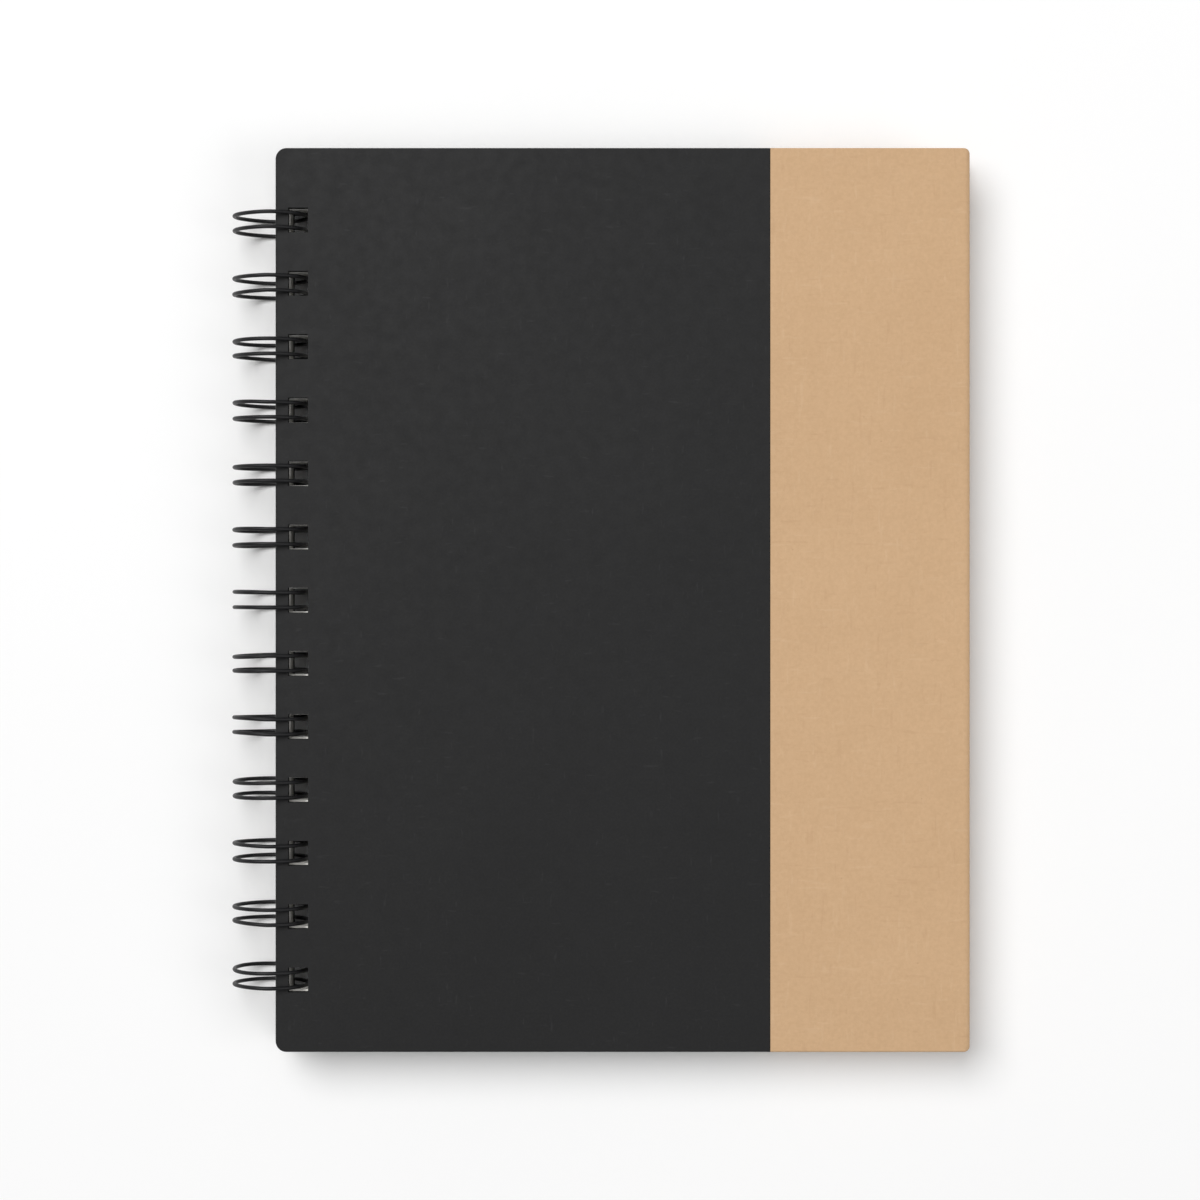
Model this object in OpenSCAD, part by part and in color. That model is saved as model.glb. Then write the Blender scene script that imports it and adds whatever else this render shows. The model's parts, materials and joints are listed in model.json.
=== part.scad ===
// Wire-bound hardcover sketchbook. Its covers are in black paper, with a kraft strip along the fore-edge.
// It lies flat with the front cover up: +X to the fore-edge, +Y to the head, +Z up.
// The origin is at the bottom centre of the closed book.

/* [Cover] */
// Width of the covers from binding edge to fore-edge
book_w = 139.4; // [100:0.1:220]
// Height of the covers
book_h = 181.5; // [160:0.1:300]
// Thickness of the cover boards
board_t = 1.8; // [1:0.1:3]
// Thickness of the covering paper outside the boards
paper_t = 0.2; // [0.1:0.05:0.4]
// Thickness of the lining paper inside the boards
lining_t = 0.2; // [0.1:0.05:0.4]
// Radius of the cover corners at the binding edge
corner_r = 2.2; // [0.5:0.1:6]
// Radius of the cover corners at the fore-edge
fore_corner_r = 1.2; // [0.5:0.1:6]
// Width of the kraft strip along the fore-edge
kraft_w = 40.1; // [20:0.1:60]

/* [Leaves] */
// Thickness of one leaf
leaf_t = 0.145; // [0.08:0.005:0.3]
// Leaves in each sheaf
sheaf_leaves = 6; // [2:1:12]
// Sheaves that turn with the front cover
turned_sheaves = 4; // [1:1:8]
// Sheaves that stay on the back cover
resting_sheaves = 4; // [1:1:8]
// Air between one sheaf and the next
sheaf_gap = 0.02; // [0.01:0.01:0.1]
// Air between the block of leaves and each cover
block_gap = 0.05; // [0.02:0.01:0.3]
// Distance of the leaves inside the covers at head, tail and fore-edge
leaf_inset = 2; // [0.5:0.1:5]
// Distance of the leaves inside the covers at the binding edge
leaf_inset_bound = 0.5; // [0:0.1:1.5]

/* [Binding] */
// Number of twin loops
loop_count = 13; // [5:1:14]
// Distance from one twin loop to the next
loop_pitch = 12.7; // [11:0.1:13.5]
// Diameter of the wire
wire_d = 0.8; // [0.6:0.05:1.2]
// Distance between the two wires of a loop
twin_gap = 3; // [2.4:0.1:3.6]
// Height of the wire's centre line above the covers' faces
ring_proud = 1.7; // [1.3:0.1:3]
// Radius of the bend from a loop into the connecting run
run_bend_r = 0.9; // [0.6:0.1:1.4]
// Air between the connecting run and the back cover
run_clear = 0.75; // [0.3:0.05:1.2]
// Air between the loop tips and the connecting run
seam_gap = 0.5; // [0.2:0.05:1]
// Length of the cut end of the run past the first and last loop
run_end = 1.5; // [1:0.1:3]
// Air between the wire and the inner and outer walls of its hole
hole_clear = 0.1; // [0.05:0.05:0.6]
// Air between the wire and the end walls of its hole
hole_end_clear = 0.6; // [0.3:0.1:1]
// Width of cover between the binding edge and the holes
hole_margin = 2.6; // [2:0.1:5]

/* [Hidden] */
$fn = 48;
CUT = 1;
// A tight bend of the wire runs this far inside the wires that it joins, and is this much thinner.
bend_lap = 0.1;
bend_step = 0.02;

black_paper = "#2e2e30";
kraft_paper = "#d2b08c";
black_board = "#242426";
white_paper = "#f4f1ea";
black_wire = "#151517";

sheaf_count = turned_sheaves + resting_sheaves;
sheaf_t = sheaf_leaves * leaf_t;
block_t = sheaf_count * sheaf_t + (sheaf_count - 1) * sheaf_gap + 2 * block_gap;
cover_t = paper_t + board_t + lining_t;
half_stack = block_t / 2 + cover_t;

// The wire's centre line is a circle round the binding axis.
wire_r = wire_d / 2;
ring_r = half_stack + ring_proud;
ring_out = ring_r + wire_r;
hole_in = sqrt(pow(ring_r - wire_r, 2) - pow(half_stack, 2)) - hole_clear;
hole_w = ring_out + hole_clear - hole_in;
hole_h = twin_gap + wire_d + 2 * hole_end_clear;

// Places across the book
total_w = ring_out + hole_in - hole_margin + book_w;
axis_x = ring_out - total_w / 2;
axis_z = ring_out;
bound_x = axis_x + hole_in - hole_margin;
fore_x = total_w / 2;
kraft_x = fore_x - kraft_w;
leaf_x0 = bound_x + leaf_inset_bound;
leaf_x1 = fore_x - leaf_inset;

// Heights
back_z = axis_z - half_stack;
front_z = axis_z + half_stack;

// Half heights along the book
cover_y = book_h / 2;
leaf_y = cover_y - leaf_inset;

// The connecting run lies just outside the back cover, and the loop tips close against it.
run_z = half_stack + wire_r + run_clear;
run_reach = norm([ring_r, run_bend_r]);
run_x = sqrt(pow(run_reach, 2) - pow(run_z, 2));
run_angle = asin(run_z / run_reach) - atan(run_bend_r / ring_r);
tip_x = run_x - wire_d - seam_gap - twin_gap / 2;
tip_angle = acos(tip_x / ring_r);

function two(i) = str(i < 10 ? "0" : "", i);
function loop_y(i) = ((loop_count + 1) / 2 - i) * loop_pitch;
function sheaf_z(i) = axis_z + block_t / 2 - block_gap - i * sheaf_t - (i - 1) * sheaf_gap;

WIRE_LOOPS = [for (i = [1:loop_count]) str("wire_loop_", two(i))];
TURNED = [for (i = [1:turned_sheaves]) str("turned_leaves_", i)];
RESTING = [for (i = [1:resting_sheaves]) str("resting_leaves_", i)];

// A rectangle from x0 to x1 with its own corner radius at each end
module outline(x0, x1, half_h, r0, r1) {
    translate([x0 + r0, -half_h])
        square([x1 - r1 - x0 - r0, 2 * half_h]);
    translate([x0, r0 - half_h])
        square([x1 - x0, 2 * (half_h - max(r0, r1))]);
    for (s = [-1, 1]) {
        if (r0 > 0)
            translate([x0 + r0, s * (half_h - r0)])
                circle(r0);
        if (r1 > 0)
            translate([x1 - r1, s * (half_h - r1)])
                circle(r1);
    }
}

module plate(x0, x1, half_h, r0, r1, z0, t) {
    translate([0, 0, z0])
        linear_extrude(t)
            outline(x0, x1, half_h, r0, r1);
}

// The row of rectangular holes that the loops pass through
module holes(z0, t) {
    for (i = [1:loop_count])
        translate([axis_x + hole_in, loop_y(i) - hole_h / 2, z0 - CUT])
            cube([hole_w, hole_h, t + 2 * CUT]);
}

// The front cover as it is drawn, or turned over to be the back cover
module on_side(front) {
    translate([0, 0, axis_z])
        mirror([0, 0, front ? 0 : 1])
            translate([0, 0, -axis_z])
                children();
}

// Covers: a board in black paper, with kraft paper along the fore-edge and a lining inside

module cover_board(front) {
    color(black_board)
        on_side(front)
            difference() {
                plate(bound_x + paper_t, fore_x - paper_t, cover_y - paper_t,
                    corner_r - paper_t, fore_corner_r - paper_t, front_z - paper_t - board_t, board_t);
                holes(front_z - cover_t, cover_t);
            }
}

module black_wrap(front) {
    color(black_paper)
        on_side(front)
            difference() {
                plate(bound_x, kraft_x, cover_y, corner_r, 0, front_z - cover_t, cover_t);
                plate(bound_x + paper_t, kraft_x + CUT, cover_y - paper_t,
                    corner_r - paper_t, 0, front_z - cover_t - CUT, board_t + lining_t + CUT);
                holes(front_z - cover_t, cover_t);
            }
}

module kraft_wrap(front) {
    color(kraft_paper)
        on_side(front)
            difference() {
                plate(kraft_x, fore_x, cover_y, 0, fore_corner_r, front_z - cover_t, cover_t);
                plate(kraft_x - CUT, fore_x - paper_t, cover_y - paper_t,
                    0, fore_corner_r - paper_t, front_z - cover_t - CUT, board_t + lining_t + CUT);
            }
}

module cover_lining(front) {
    color(black_paper)
        on_side(front)
            difference() {
                plate(bound_x + paper_t, fore_x - paper_t, cover_y - paper_t,
                    corner_r - paper_t, fore_corner_r - paper_t, front_z - cover_t, lining_t);
                holes(front_z - cover_t, cover_t);
            }
}

// One sheaf of leaves, counted from the top of the block
module leaves(i) {
    color(white_paper)
        difference() {
            plate(leaf_x0, leaf_x1, leaf_y, 0, 0, sheaf_z(i), sheaf_t);
            holes(sheaf_z(i), sheaf_t);
        }
}

// Binding wire

// A tight bend round the Z axis, from the +X axis, whose ends run inside the wires that it joins
module bend(r, sweep) {
    lap = bend_lap / r * 180 / PI;
    rotate([0, 0, -lap])
        rotate_extrude(angle = sweep + 2 * lap)
            translate([r, 0])
                circle(wire_r - bend_step, $fn = 16);
}

// One of a loop's two wires, from the bend at the run, round to the tip
module loop_wire() {
    rotate([90, 0, 0])
        rotate([0, 0, -run_angle])
            rotate_extrude(angle = 360 + run_angle - tip_angle)
                translate([ring_r, 0])
                    circle(wire_r, $fn = 16);
}

// The bend into the run, and half of the run to the next loop
module run_half(length) {
    rotate([0, run_angle, 0])
        translate([ring_r, run_bend_r, 0])
            rotate([0, 90, 0])
                rotate([0, 0, -90])
                    bend(run_bend_r, 90);
    translate([run_x, run_bend_r, -run_z])
        rotate([-90, 0, 0])
            cylinder(h = length - run_bend_r, r = wire_r, $fn = 16);
}

module wire_loop(i) {
    reach = loop_pitch / 2 - twin_gap / 2;
    color(black_wire)
        translate([axis_x, loop_y(i), axis_z]) {
            for (s = [0, 1])
                mirror([0, s, 0])
                    translate([0, twin_gap / 2, 0]) {
                        loop_wire();
                        run_half(i == (s == 0 ? 1 : loop_count) ? run_end : reach);
                    }
            rotate([0, tip_angle, 0])
                translate([ring_r, 0, 0])
                    rotate([0, 90, 0])
                        rotate([0, 0, 90])
                            bend(twin_gap / 2, 180);
        }
}

cover_board(true);  // front_board
black_wrap(true);  // front_black_wrap
kraft_wrap(true);  // front_kraft_wrap
cover_lining(true);  // front_lining
cover_board(false);  // back_board
black_wrap(false);  // back_black_wrap
kraft_wrap(false);  // back_kraft_wrap
cover_lining(false);  // back_lining
for (i = [1:turned_sheaves])
    leaves(i);
for (i = [1:resting_sheaves])
    leaves(turned_sheaves + i);
for (i = [1:loop_count])
    wire_loop(i);
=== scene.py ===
"""Looks of the wire-bound sketchbook: two-tone paper covers, loose leaves and binding wire."""
import json
import random
from math import acos, asin, atan2, cos, hypot, pi, sin, sqrt

import bmesh
import bpy
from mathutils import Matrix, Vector
from mathutils.geometry import tessellate_polygon


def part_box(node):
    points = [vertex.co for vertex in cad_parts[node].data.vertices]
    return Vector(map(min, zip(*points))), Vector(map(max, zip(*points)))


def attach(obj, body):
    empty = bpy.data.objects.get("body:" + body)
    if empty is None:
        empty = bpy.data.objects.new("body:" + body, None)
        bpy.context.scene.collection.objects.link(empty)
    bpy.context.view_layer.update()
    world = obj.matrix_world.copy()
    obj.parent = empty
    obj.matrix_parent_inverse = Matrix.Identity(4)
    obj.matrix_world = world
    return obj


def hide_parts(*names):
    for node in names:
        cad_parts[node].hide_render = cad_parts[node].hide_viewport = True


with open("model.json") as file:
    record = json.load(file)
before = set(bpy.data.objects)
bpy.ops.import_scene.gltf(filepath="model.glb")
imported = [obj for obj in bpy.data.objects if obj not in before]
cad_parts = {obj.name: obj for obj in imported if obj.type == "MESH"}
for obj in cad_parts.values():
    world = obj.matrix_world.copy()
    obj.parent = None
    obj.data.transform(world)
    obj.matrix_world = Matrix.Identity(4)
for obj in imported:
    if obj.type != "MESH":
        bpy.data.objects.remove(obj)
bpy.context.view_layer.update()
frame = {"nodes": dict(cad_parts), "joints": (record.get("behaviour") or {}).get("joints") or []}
MM = 0.001
rng = random.Random(7)

# ---------------------------------------------------------------- sizes from the frame
BODY = "back_and_binding"
front_lo, front_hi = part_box("front_black_wrap")
back_lo, back_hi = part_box("back_black_wrap")
kraft_lo, kraft_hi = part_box("front_kraft_wrap")
loop_lo, loop_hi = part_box("wire_loop_02")
next_lo, next_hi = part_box("wire_loop_03")
axis_x, _, axis_z = next(j["pos_m"] for j in frame["joints"] if j["name"] == "front_cover_turn")
loops = sorted(n for n in frame["nodes"] if n.startswith("wire_loop_"))
pitch = (loop_lo.y + loop_hi.y - next_lo.y - next_hi.y) / 2
first_loop_y = (loop_lo.y + loop_hi.y) / 2 + pitch
loop_ys = [first_loop_y - i * pitch for i in range(len(loops))]

# ---------------------------------------------------------------- sizes the frame doesn't state
WIRE_R = 0.4 * MM
TWIN_GAP = 3.0 * MM
HOLE_H = 5.0 * MM
HOLE_MARGIN = 2.6 * MM
HOLE_CLEAR = 0.1 * MM
PAPER_T = 0.2 * MM
BOUND_CORNER = 2.2 * MM
FORE_CORNER = 1.2 * MM
MIN_CORNER = 0.02 * MM
# A cover edge's round-over: its height, and how far in it reaches at each edge
EDGE_R = 0.95 * MM
BOUND_ROUND = 0.5 * MM
FORE_ROUND = 1.2 * MM
SIDE_ROUND = 0.35 * MM
SEAM_ROUND = 0.1 * MM
KRAFT_SEAM_ROUND = 0.03 * MM
INNER_SHARE = 0.5  # the inner edge's round-over, as a share of the outer one
RIM_SHARE = 0.15  # a flat rim inside the round-over, so that the face inside it shades flat
LINING_INSET = 3.5 * MM
LINING_BOUND_INSET = 1.2 * MM
LINING_T = 0.1 * MM
TURN_IN_T = 0.05 * MM
TURN_IN_W = 15 * MM
TURN_IN_EDGE = 0.6 * MM
MITRE_SLIT = 0.12 * MM
LINING_CORNER = 0.3 * MM
LEAF_CORNER = 0.15 * MM
LEAVES_PER_SHEAF = 6
LEAF_FILL = 0.9  # a leaf's thickness, as a share of its place in the sheaf
RUN_BEND_R = 0.9 * MM
RUN_CLEAR = 0.75 * MM
RUN_END = 1.5 * MM
SEAM_GAP = 0.5 * MM
SHARP_ANGLE = 0.6

ring_r = (loop_hi.z - loop_lo.z) / 2 - WIRE_R
hole_x0 = front_lo.x + HOLE_MARGIN
hole_x1 = axis_x + ring_r + WIRE_R + HOLE_CLEAR


def random_mm(reach):
    """A seeded random distance, up to reach millimetres either way."""
    return rng.uniform(-reach, reach) * MM


# ================================================================ materials
class Nodes:
    """A short way to build a node material."""

    def __init__(self, name):
        self.mat = bpy.data.materials.new(name)
        self.mat.use_nodes = True
        self.tree = self.mat.node_tree
        self.bsdf = self.tree.nodes["Principled BSDF"]
        self.coord = self.tree.nodes.new("ShaderNodeTexCoord").outputs["Object"]

    def add(self, kind, **values):
        node = self.tree.nodes.new(kind)
        for key, value in values.items():
            if isinstance(value, bpy.types.NodeSocket):
                self.tree.links.new(value, node.inputs[key])
            elif key in node.inputs:
                node.inputs[key].default_value = value
            else:
                setattr(node, key, value)
        return node

    def scaled(self, scale, turn=0.0):
        node = self.add("ShaderNodeMapping", Vector=self.coord)
        node.inputs["Scale"].default_value = scale
        node.inputs["Rotation"].default_value = (0, 0, turn)
        return node.outputs["Vector"]

    def noise(self, scale, detail=4.0, rough=0.55, vector=None, stretch=None):
        vector = vector or (self.scaled(stretch) if stretch else self.coord)
        node = self.add("ShaderNodeTexNoise", Vector=vector, Scale=scale, Detail=detail, Roughness=rough)
        return node.outputs["Fac"]

    def ramp(self, fac, stops):
        node = self.add("ShaderNodeValToRGB", Fac=fac)
        ramp = node.color_ramp
        while len(ramp.elements) < len(stops):
            ramp.elements.new(0.5)
        for element, (place, colour) in zip(ramp.elements, stops):
            element.position = place
            element.color = (*colour, 1) if hasattr(colour, "__len__") else (colour, colour, colour, 1)
        return node.outputs["Color"]

    def mix(self, fac, a, b, blend="MIX"):
        node = self.tree.nodes.new("ShaderNodeMix")
        node.data_type = "RGBA"
        node.blend_type = blend
        for key, value in ((0, fac), (6, a), (7, b)):
            if isinstance(value, bpy.types.NodeSocket):
                self.tree.links.new(value, node.inputs[key])
            elif key == 0:
                node.inputs[key].default_value = value
            else:
                node.inputs[key].default_value = (*value, 1)
        return node.outputs[2]

    def math(self, operation, a, b):
        node = self.tree.nodes.new("ShaderNodeMath")
        node.operation = operation
        for key, value in ((0, a), (1, b)):
            if isinstance(value, bpy.types.NodeSocket):
                self.tree.links.new(value, node.inputs[key])
            else:
                node.inputs[key].default_value = value
        return node.outputs[0]

    def link(self, socket, name):
        self.tree.links.new(socket, self.bsdf.inputs[name])

    def bump(self, height, strength, distance, normal=None):
        node = self.add("ShaderNodeBump", Height=height, Strength=strength, Distance=distance)
        if normal:
            self.tree.links.new(normal, node.inputs["Normal"])
        return node.outputs["Normal"]


def black_paper(name, dark, pale):
    """Dyed cover paper: fine even grain, short pale fibres, a few faint scuffs."""
    m = Nodes(name)
    cloud = m.ramp(m.noise(35, 5), [(0.3, dark), (0.72, pale)])
    grain = m.ramp(m.noise(1900, 3, 0.6), [(0.38, (0.90, 0.90, 0.90)), (0.64, (1.10, 1.10, 1.10))])
    colour = m.mix(1.0, cloud, grain, "MULTIPLY")
    fibre_across = m.ramp(m.noise(1100, 2, stretch=(0.22, 1, 1)), [(0.66, 0.0), (0.76, 1.0)])
    fibre_along = m.ramp(m.noise(1100, 2, stretch=(1, 0.22, 1)), [(0.67, 0.0), (0.77, 1.0)])
    fibres = m.math("MAXIMUM", fibre_across, fibre_along)
    colour = m.mix(m.math("MULTIPLY", fibres, 0.14), colour, (0.060, 0.060, 0.062))
    scuff = m.ramp(m.noise(160, 2, vector=m.scaled((0.05, 1, 1), 1.1)), [(0.71, 0.0), (0.75, 1.0)])
    scuff = m.math("MULTIPLY", scuff, m.ramp(m.noise(28, 2), [(0.56, 0.0), (0.68, 1.0)]))
    colour = m.mix(m.math("MULTIPLY", scuff, 0.12), colour, (0.08, 0.08, 0.08))
    m.link(colour, "Base Color")
    m.link(m.ramp(m.noise(420, 3), [(0.3, 0.54), (0.7, 0.62)]), "Roughness")
    m.bsdf.inputs["Specular IOR Level"].default_value = 0.23
    height = m.math("ADD", m.noise(1800, 3, 0.65), m.math("MULTIPLY", fibres, 0.5))
    m.link(m.bump(height, 0.20, 0.00003), "Normal")
    return m.mat


def kraft_paper(name, base, deep):
    """Kraft paper: faintly clouded pulp, short fibres both ways, small dark flecks."""
    m = Nodes(name)
    cloud = m.ramp(m.noise(45, 6, 0.62), [(0.30, deep), (0.66, base)])
    pulp = m.ramp(m.noise(1500, 3, 0.6), [(0.32, (0.955, 0.95, 0.94)), (0.68, (1.03, 1.03, 1.035))])
    colour = m.mix(1.0, cloud, pulp, "MULTIPLY")
    pale_across = m.ramp(m.noise(1200, 2, stretch=(0.16, 1, 1)), [(0.62, 0.0), (0.74, 1.0)])
    pale_along = m.ramp(m.noise(1200, 2, stretch=(1, 0.16, 1)), [(0.62, 0.0), (0.74, 1.0)])
    dark_across = m.ramp(m.noise(1000, 2, stretch=(0.14, 1, 1)), [(0.27, 1.0), (0.36, 0.0)])
    dark_along = m.ramp(m.noise(1000, 2, stretch=(1, 0.14, 1)), [(0.27, 1.0), (0.36, 0.0)])
    pale = m.math("MAXIMUM", pale_across, pale_along)
    dark = m.math("MAXIMUM", dark_across, dark_along)
    colour = m.mix(m.math("MULTIPLY", pale, 0.12), colour, (0.76, 0.56, 0.37))
    colour = m.mix(m.math("MULTIPLY", dark, 0.12), colour, (0.38, 0.21, 0.11))
    fleck = m.add("ShaderNodeTexVoronoi", Vector=m.coord, Scale=520.0).outputs["Distance"]
    fleck = m.ramp(fleck, [(0.06, 1.0), (0.10, 0.0)])
    fleck = m.math("MULTIPLY", fleck, m.ramp(m.noise(170, 1), [(0.60, 0.0), (0.66, 1.0)]))
    colour = m.mix(m.math("MULTIPLY", fleck, 0.25), colour, (0.30, 0.17, 0.09))
    m.link(colour, "Base Color")
    m.link(m.ramp(m.noise(380, 3), [(0.3, 0.74), (0.7, 0.86)]), "Roughness")
    m.bsdf.inputs["Specular IOR Level"].default_value = 0.3
    height = m.math("ADD", m.noise(1500, 3, 0.65), m.math("SUBTRACT", pale, dark))
    m.link(m.bump(height, 0.20, 0.00003), "Normal")
    return m.mat


def drawing_paper():
    """Cartridge paper: off-white, with a fine tooth."""
    m = Nodes("drawing_paper_tooth")
    cloud = m.ramp(m.noise(60, 4), [(0.3, (0.845, 0.833, 0.795)), (0.7, (0.865, 0.855, 0.82))])
    tooth = m.ramp(m.noise(1700, 3, 0.7), [(0.3, 0.95), (0.7, 1.03)])
    m.link(m.mix(1.0, cloud, tooth, "MULTIPLY"), "Base Color")
    m.bsdf.inputs["Roughness"].default_value = 0.9
    m.bsdf.inputs["Specular IOR Level"].default_value = 0.25
    m.link(m.bump(m.noise(1700, 3, 0.7), 0.3, 0.00004), "Normal")
    return m.mat


def black_board():
    """Cut edge of dyed board: layered near-black fibre."""
    m = Nodes("black_board_cut")
    layers = m.noise(1600, 3, 0.6, stretch=(0.2, 0.2, 1.5))
    m.link(m.ramp(layers, [(0.3, (0.012, 0.012, 0.012)), (0.7, (0.030, 0.030, 0.029))]), "Base Color")
    m.bsdf.inputs["Roughness"].default_value = 0.95
    m.link(m.bump(layers, 0.6, 0.0001), "Normal")
    return m.mat


def coated_wire():
    """Nylon-coated binding wire: near-black, satin, faintly uneven."""
    m = Nodes("black_wire_coated")
    tint = [(0.3, (0.006, 0.006, 0.007)), (0.7, (0.012, 0.012, 0.013))]
    m.link(m.ramp(m.noise(300, 3), tint), "Base Color")
    m.link(m.ramp(m.noise(700, 3), [(0.3, 0.40), (0.7, 0.50)]), "Roughness")
    m.bsdf.inputs["Specular IOR Level"].default_value = 0.3
    m.link(m.bump(m.noise(900, 3), 0.15, 0.00003), "Normal")
    return m.mat


BLACK = black_paper("black_cover_paper", (0.0105, 0.0105, 0.0109), (0.0125, 0.0125, 0.0129))
LINING = black_paper("black_lining_paper", (0.018, 0.018, 0.0185), (0.022, 0.022, 0.0225))
KRAFT = kraft_paper("kraft_cover_paper", (0.605, 0.398, 0.228), (0.580, 0.378, 0.214))
BOARD = black_board()
PAPER = drawing_paper()
WIRE = coated_wire()


# ================================================================ mesh tools
def finish_mesh(name, bm, materials, flat_normals=False):
    """Turns bm into an object, with smooth shading up to the sharp angle unless flat_normals."""
    bmesh.ops.recalc_face_normals(bm, faces=bm.faces)
    mesh = bpy.data.meshes.new(name)
    bm.to_mesh(mesh)
    bm.free()
    for material in materials:
        mesh.materials.append(material)
    obj = bpy.data.objects.new(name, mesh)
    bpy.context.scene.collection.objects.link(obj)
    if not flat_normals:
        mesh.shade_smooth()
        mesh.set_sharp_from_angle(angle=SHARP_ANGLE)
    return obj


def rounded_outline(x0, x1, half_h, radii, insets=(0, 0, 0)):
    """Corner arcs, anticlockwise from the low corner at x0.

    radii are those at x0 and x1. insets are those at x0, at x1 and along Y.
    """
    steps = 8
    corners = (
        (x0, -half_h, 1, 1, pi, 0),
        (x1, -half_h, -1, 1, 1.5 * pi, 1),
        (x1, half_h, -1, -1, 0, 1),
        (x0, half_h, 1, -1, 0.5 * pi, 0),
    )
    points = []
    for x, y, sx, sy, start, end in corners:
        r, in_x, in_y = radii[end], insets[end], insets[2]
        if not r:
            points.append((x + sx * in_x, y + sy * in_y))
            continue
        rx, ry = max(r - in_x, MIN_CORNER), max(r - in_y, MIN_CORNER)
        cx, cy = x + sx * (in_x + rx), y + sy * (in_y + ry)
        for k in range(steps + 1):
            a = start + k * pi / 2 / steps
            points.append((cx + rx * cos(a), cy + ry * sin(a)))
    return points


def edge_profile(z0, z1, share0, share1, steps=6):
    """(share, z) pairs up a wrapped edge, where share 1 is the whole round-over and 0 the edge itself."""
    profile = [(share0 + RIM_SHARE, z0)]
    for k in range(steps + 1):
        a = k * pi / 2 / steps
        profile.append((share0 * (1 - sin(a)), z0 + share0 * EDGE_R * (1 - cos(a))))
    for k in range(steps + 1):
        a = k * pi / 2 / steps
        profile.append((share1 * (1 - cos(a)), z1 - share1 * EDGE_R * (1 - sin(a))))
    profile.append((share1 + RIM_SHARE, z1))
    return profile


def punched_holes():
    """The row of rectangular holes, as (x0, x1, y0, y1)."""
    return [(hole_x0, hole_x1, y - HOLE_H / 2, y + HOLE_H / 2) for y in loop_ys]


def add_plate(bm, outline, profile, holes=(), layers=(), jitter=(0, 0)):
    """A closed plate with holes.

    outline(share) gives a ring, and profile the (share, z) pairs up its edge. layers holds the
    materials down a hole's wall, and between them the z levels where they meet.
    """
    dx, dy = jitter
    rings = [[bm.verts.new((x + dx, y + dy, z)) for x, y in outline(share)] for share, z in profile]
    count = len(rings[0])
    for low, high in zip(rings, rings[1:]):
        for k in range(count):
            n = (k + 1) % count
            bm.faces.new((low[k], low[n], high[n], high[k]))
    levels = [profile[0][1], *layers[1::2], profile[-1][1]] if layers else [profile[0][1], profile[-1][1]]
    inner = layers[0::2] if layers else (0,)
    hole_rings = []
    for x0, x1, y0, y1 in holes:
        corners = ((x0, y0), (x0, y1), (x1, y1), (x1, y0))
        stack = [[bm.verts.new((x + dx, y + dy, z)) for x, y in corners] for z in levels]
        for low, high, material in zip(stack, stack[1:], inner):
            for k in range(4):
                n = (k + 1) % 4
                bm.faces.new((low[k], low[n], high[n], high[k])).material_index = material
        hole_rings.append((stack[0], stack[-1]))
    for ring, side in ((rings[0], 0), (rings[-1], 1)):
        loops_2d = [ring] + [pair[side] for pair in hole_rings]
        verts = [v for loop in loops_2d for v in loop]
        flat = [[Vector((v.co.x, v.co.y, 0)) for v in loop] for loop in loops_2d]
        faces = []
        for a, b, c in tessellate_polygon(flat):
            if len({a, b, c}) == 3:
                faces.append(bm.faces.new((verts[a], verts[b], verts[c])))
        bmesh.ops.join_triangles(bm, faces=faces, angle_face_threshold=0.1, angle_shape_threshold=1.2)


def add_prism(bm, points, z0, z1):
    """A flat polygon with thickness."""
    low = [bm.verts.new((x, y, z0)) for x, y in points]
    high = [bm.verts.new((x, y, z1)) for x, y in points]
    bm.faces.new(low[::-1])
    bm.faces.new(high)
    for k in range(len(points)):
        n = (k + 1) % len(points)
        bm.faces.new((low[k], low[n], high[n], high[k]))


def add_tube(bm, path, radius, sides):
    """A round wire along path, with closed ends."""
    tangent = (path[1] - path[0]).normalized()
    side = tangent.orthogonal().normalized()
    rings = []
    for k, point in enumerate(path):
        ahead = path[min(k + 1, len(path) - 1)] - path[max(k - 1, 0)]
        ahead.normalize()
        side = (side - ahead * side.dot(ahead)).normalized()
        up = ahead.cross(side)
        ring = []
        for s in range(sides):
            a = 2 * pi * s / sides
            ring.append(bm.verts.new(point + radius * (cos(a) * side + sin(a) * up)))
        rings.append(ring)
    for low, high in zip(rings, rings[1:]):
        for k in range(sides):
            n = (k + 1) % sides
            bm.faces.new((low[k], low[n], high[n], high[k]))
    bm.faces.new(rings[0][::-1])
    bm.faces.new(rings[-1])


# ================================================================ covers
def case_piece(name, outline, profile, holes, layers, body, nodes, materials):
    """One paper's part of a wrapped board."""
    bm = bmesh.new()
    add_plate(bm, outline, profile, holes, layers)
    piece = finish_mesh(name, bm, materials)
    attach(piece, body)
    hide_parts(*nodes)


def turn_ins(name, polygons, z, body, material):
    """The covering paper's edges, folded over on to the inside of the board."""
    bm = bmesh.new()
    for points in polygons:
        add_prism(bm, points, z, z + TURN_IN_T)
    piece = finish_mesh(name, bm, (material,), flat_normals=True)
    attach(piece, body)


def lining(name, z, body, node):
    """The lining paper, pasted down a little inside the edges."""
    x0, x1 = front_lo.x + LINING_BOUND_INSET, kraft_hi.x - LINING_INSET
    half_h = kraft_hi.y - LINING_INSET
    bm = bmesh.new()

    def outline(_share):
        return rounded_outline(x0, x1, half_h, (LINING_CORNER, LINING_CORNER))

    add_plate(bm, outline, [(0, z), (0, z + LINING_T)], punched_holes())
    piece = finish_mesh(name, bm, (LINING,), flat_normals=True)
    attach(piece, body)
    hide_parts(node)


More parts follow.
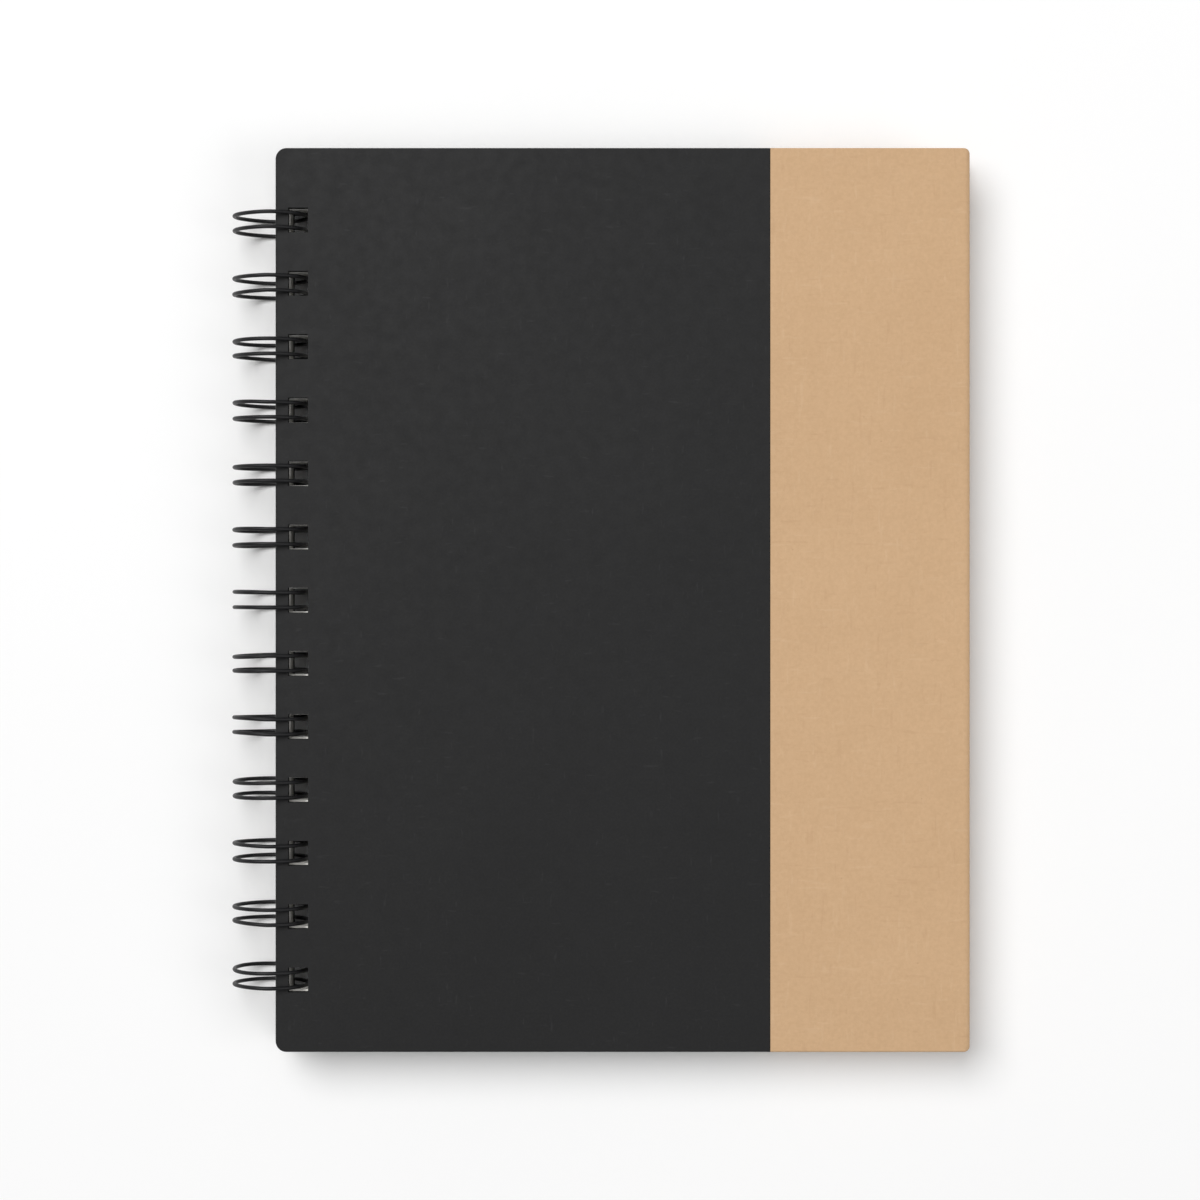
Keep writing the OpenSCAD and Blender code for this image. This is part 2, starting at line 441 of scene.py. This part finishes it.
def cover(side, body, lo_z, hi_z, outer_up):
    """A board in black paper and kraft paper, rounded over outside, and lined inside."""
    half_h, seam, fore = kraft_hi.y, kraft_lo.x, kraft_hi.x
    recess = LINING_T + TURN_IN_T
    z0 = lo_z + recess if outer_up else lo_z
    z1 = hi_z if outer_up else hi_z - recess
    profile = edge_profile(z0, z1, INNER_SHARE if outer_up else 1, 1 if outer_up else INNER_SHARE)

    def black_outline(share):
        insets = (share * BOUND_ROUND, share * SEAM_ROUND, share * SIDE_ROUND)
        return rounded_outline(front_lo.x, seam, half_h, (BOUND_CORNER, 0), insets)

    def kraft_outline(share):
        insets = (share * KRAFT_SEAM_ROUND, share * FORE_ROUND, share * SIDE_ROUND)
        return rounded_outline(seam, fore, half_h, (0, FORE_CORNER), insets)

    layers = (0, z0 + PAPER_T, 1, z1 - PAPER_T, 0)
    case_piece(side + "_cover_case", black_outline, profile, punched_holes(), layers, body,
               (side + "_board", side + "_black_wrap"), (BLACK, BOARD))
    case_piece(side + "_cover_kraft_panel", kraft_outline, profile, (), (), body,
               (side + "_kraft_wrap",), (KRAFT,))

    x0, x1, y1 = front_lo.x + TURN_IN_EDGE, fore - TURN_IN_EDGE, half_h - TURN_IN_EDGE
    inside, slit = y1 - TURN_IN_W, MITRE_SLIT
    black_strips = []
    kraft_strips = []
    for s in (-1, 1):
        black_strips.append(((x0 + TURN_IN_EDGE, s * y1), (seam, s * y1),
                             (seam, s * inside), (x0 + TURN_IN_W, s * inside)))
        kraft_strips.append(((seam, s * y1), (x1 - slit, s * y1),
                             (x1 - TURN_IN_W - slit, s * inside), (seam, s * inside)))
    kraft_strips.append(((x1, slit - y1), (x1, y1 - slit),
                         (x1 - TURN_IN_W, inside - slit), (x1 - TURN_IN_W, slit - inside)))
    turn_z = z0 - TURN_IN_T if outer_up else z1
    turn_ins(side + "_cover_black_turn_ins", black_strips, turn_z, body, BLACK)
    turn_ins(side + "_cover_kraft_turn_ins", kraft_strips, turn_z, body, KRAFT)
    lining(side + "_cover_lining", lo_z if outer_up else hi_z - LINING_T, body, side + "_lining")


# ================================================================ leaves
def leaves():
    """Separate leaves, each a hair off square, six to a sheaf."""
    sheaves = sorted(n for n in frame["nodes"] if "_leaves_" in n)
    for node in sheaves:
        lo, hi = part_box(node)
        leaf_pitch = (hi.z - lo.z) / LEAVES_PER_SHEAF
        leaf_t = leaf_pitch * LEAF_FILL
        body = node if node.startswith("turned") else BODY
        bm = bmesh.new()
        for k in range(LEAVES_PER_SHEAF):
            z = lo.z + k * leaf_pitch
            dx = random_mm(0.06)
            dy = random_mm(0.22)
            trim = rng.uniform(0, 0.25) * MM

            def outline(_share, trim=trim):
                return rounded_outline(lo.x, hi.x - trim, hi.y - trim / 2, (LEAF_CORNER, LEAF_CORNER))

            add_plate(bm, outline, [(0, z), (0, z + leaf_t)], punched_holes(), (), (dx, dy))
        sheaf = finish_mesh(node.replace("leaves", "leaf_sheaf"), bm, (PAPER,), flat_normals=True)
        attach(sheaf, body)
        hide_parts(node)


# ================================================================ binding wire
def loop_angles():
    """Where the twin loops start at the run and end at their tips, below the ring's centre."""
    half_stack = axis_z - back_lo.z
    run_z = half_stack + WIRE_R + RUN_CLEAR
    reach = hypot(ring_r, RUN_BEND_R)
    run_x = sqrt(reach * reach - run_z * run_z)
    start = asin(run_z / reach) - atan2(RUN_BEND_R, ring_r)
    tip_x = run_x - 2 * WIRE_R - SEAM_GAP - TWIN_GAP / 2
    return start, acos(tip_x / ring_r), run_x, run_z


def wire_path():
    """One wire from the first loop to the last: run, bend, out round the loop, tip, back, bend, run."""
    start, tip, run_x, run_z = loop_angles()
    arc_steps, bend_steps, tip_steps = 60, 5, 12
    along = Vector((sin(start), 0, cos(start)))
    out = Vector((cos(start), 0, -sin(start)))
    tip_along = Vector((sin(tip), 0, cos(tip)))
    tip_out = Vector((cos(tip), 0, -sin(tip)))
    centre = Vector((axis_x, 0, axis_z))
    path = [centre + Vector((run_x, loop_ys[0] + TWIN_GAP / 2 + RUN_END, -run_z))]
    for y in loop_ys:
        lean = random_mm(0.18)
        spread = random_mm(0.12)
        tilts = {1: random_mm(0.25), -1: random_mm(0.25)}
        swell = random_mm(0.05)

        def on_loop(angle, side):
            free = max(0.0, -cos(angle))  # the loops are held in the holes, and free outside them
            r = ring_r + swell * free
            shift = side * spread + lean + tilts[side] * sin(angle)
            return centre + Vector((r * cos(angle), y + side * TWIN_GAP / 2 + shift * free, r * sin(angle)))

        sweep = 2 * pi + start - tip
        for k in range(bend_steps):
            a = k * pi / 2 / bend_steps
            path.append(centre + out * ring_r + Vector((0, y + TWIN_GAP / 2 + RUN_BEND_R * (1 - sin(a)), 0))
                        - along * RUN_BEND_R * cos(a))
        path += [on_loop(-start + sweep * k / arc_steps, 1) for k in range(arc_steps + 1)]
        for k in range(1, tip_steps):
            a = k * pi / tip_steps
            path.append(centre + tip_out * ring_r + tip_along * TWIN_GAP / 2 * sin(a)
                        + Vector((0, y + TWIN_GAP / 2 * cos(a), 0)))
        path += [on_loop(-start + sweep * (1 - k / arc_steps), -1) for k in range(arc_steps + 1)]
        for k in range(1, bend_steps + 1):
            a = k * pi / 2 / bend_steps
            path.append(centre + out * ring_r + Vector((0, y - TWIN_GAP / 2 - RUN_BEND_R * (1 - cos(a)), 0))
                        - along * RUN_BEND_R * sin(a))
    path.append(centre + Vector((run_x, loop_ys[-1] - TWIN_GAP / 2 - RUN_END, -run_z)))
    return path


def binding_wire():
    """The whole binding as one wire, as it is made."""
    bm = bmesh.new()
    add_tube(bm, wire_path(), WIRE_R, 12)
    wire = finish_mesh("binding_wire", bm, (WIRE,))
    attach(wire, BODY)
    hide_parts(*loops)


# ================================================================ stage, light and camera
def floor():
    m = Nodes("pale_floor")
    m.link(m.ramp(m.noise(6, 2), [(0.3, (0.96, 0.96, 0.96)), (0.7, (0.975, 0.975, 0.975))]), "Base Color")
    m.bsdf.inputs["Roughness"].default_value = 0.9
    bm = bmesh.new()
    half = 3.0
    corners = ((-half, -half), (half, -half), (half, half), (-half, half))
    bm.faces.new([bm.verts.new((x, y, 0)) for x, y in corners])
    finish_mesh("studio_floor", bm, (m.mat,), flat_normals=True)


def area_light(name, place, size, energy):
    """A soft round light that points at the origin."""
    data = bpy.data.lights.new(name, "AREA")
    data.shape = "DISK"
    data.size = size
    data.energy = energy
    light = bpy.data.objects.new(name, data)
    bpy.context.scene.collection.objects.link(light)
    light.location = place
    light.rotation_euler = (-Vector(place)).to_track_quat("-Z", "Y").to_euler()


def lighting():
    """A dim even world, a large key light at the top left and a fill light at the right."""
    world = bpy.data.worlds.new("studio")
    bpy.context.scene.world = world
    world.use_nodes = True
    world.node_tree.nodes["Background"].inputs["Color"].default_value = (1, 1, 1, 1)
    world.node_tree.nodes["Background"].inputs["Strength"].default_value = 0.30
    area_light("key_light", (-0.60, 0.66, 1.65), 1.4, 27)
    area_light("fill_light", (0.95, -0.25, 0.95), 0.8, 3.5)
    bpy.context.scene.view_settings.view_transform = "Standard"


def camera():
    """Straight down on the closed book, from the distance that its loops' perspective gives."""
    distance, frame_w, side_shift, sensor = 0.530, 240.6 * MM, 0.1 * MM, 36.0
    data = bpy.data.cameras.new("camera")
    data.sensor_width = sensor
    data.lens = sensor * distance / frame_w
    data.clip_start = 0.01
    cam = bpy.data.objects.new("camera", data)
    bpy.context.scene.collection.objects.link(cam)
    cam.location = (side_shift, 0, front_hi.z + distance)
    bpy.context.scene.camera = cam


camera()
cover("front", "front_cover", front_lo.z, front_hi.z, True)
cover("back", BODY, back_lo.z, back_hi.z, False)
leaves()
binding_wire()
floor()
lighting()
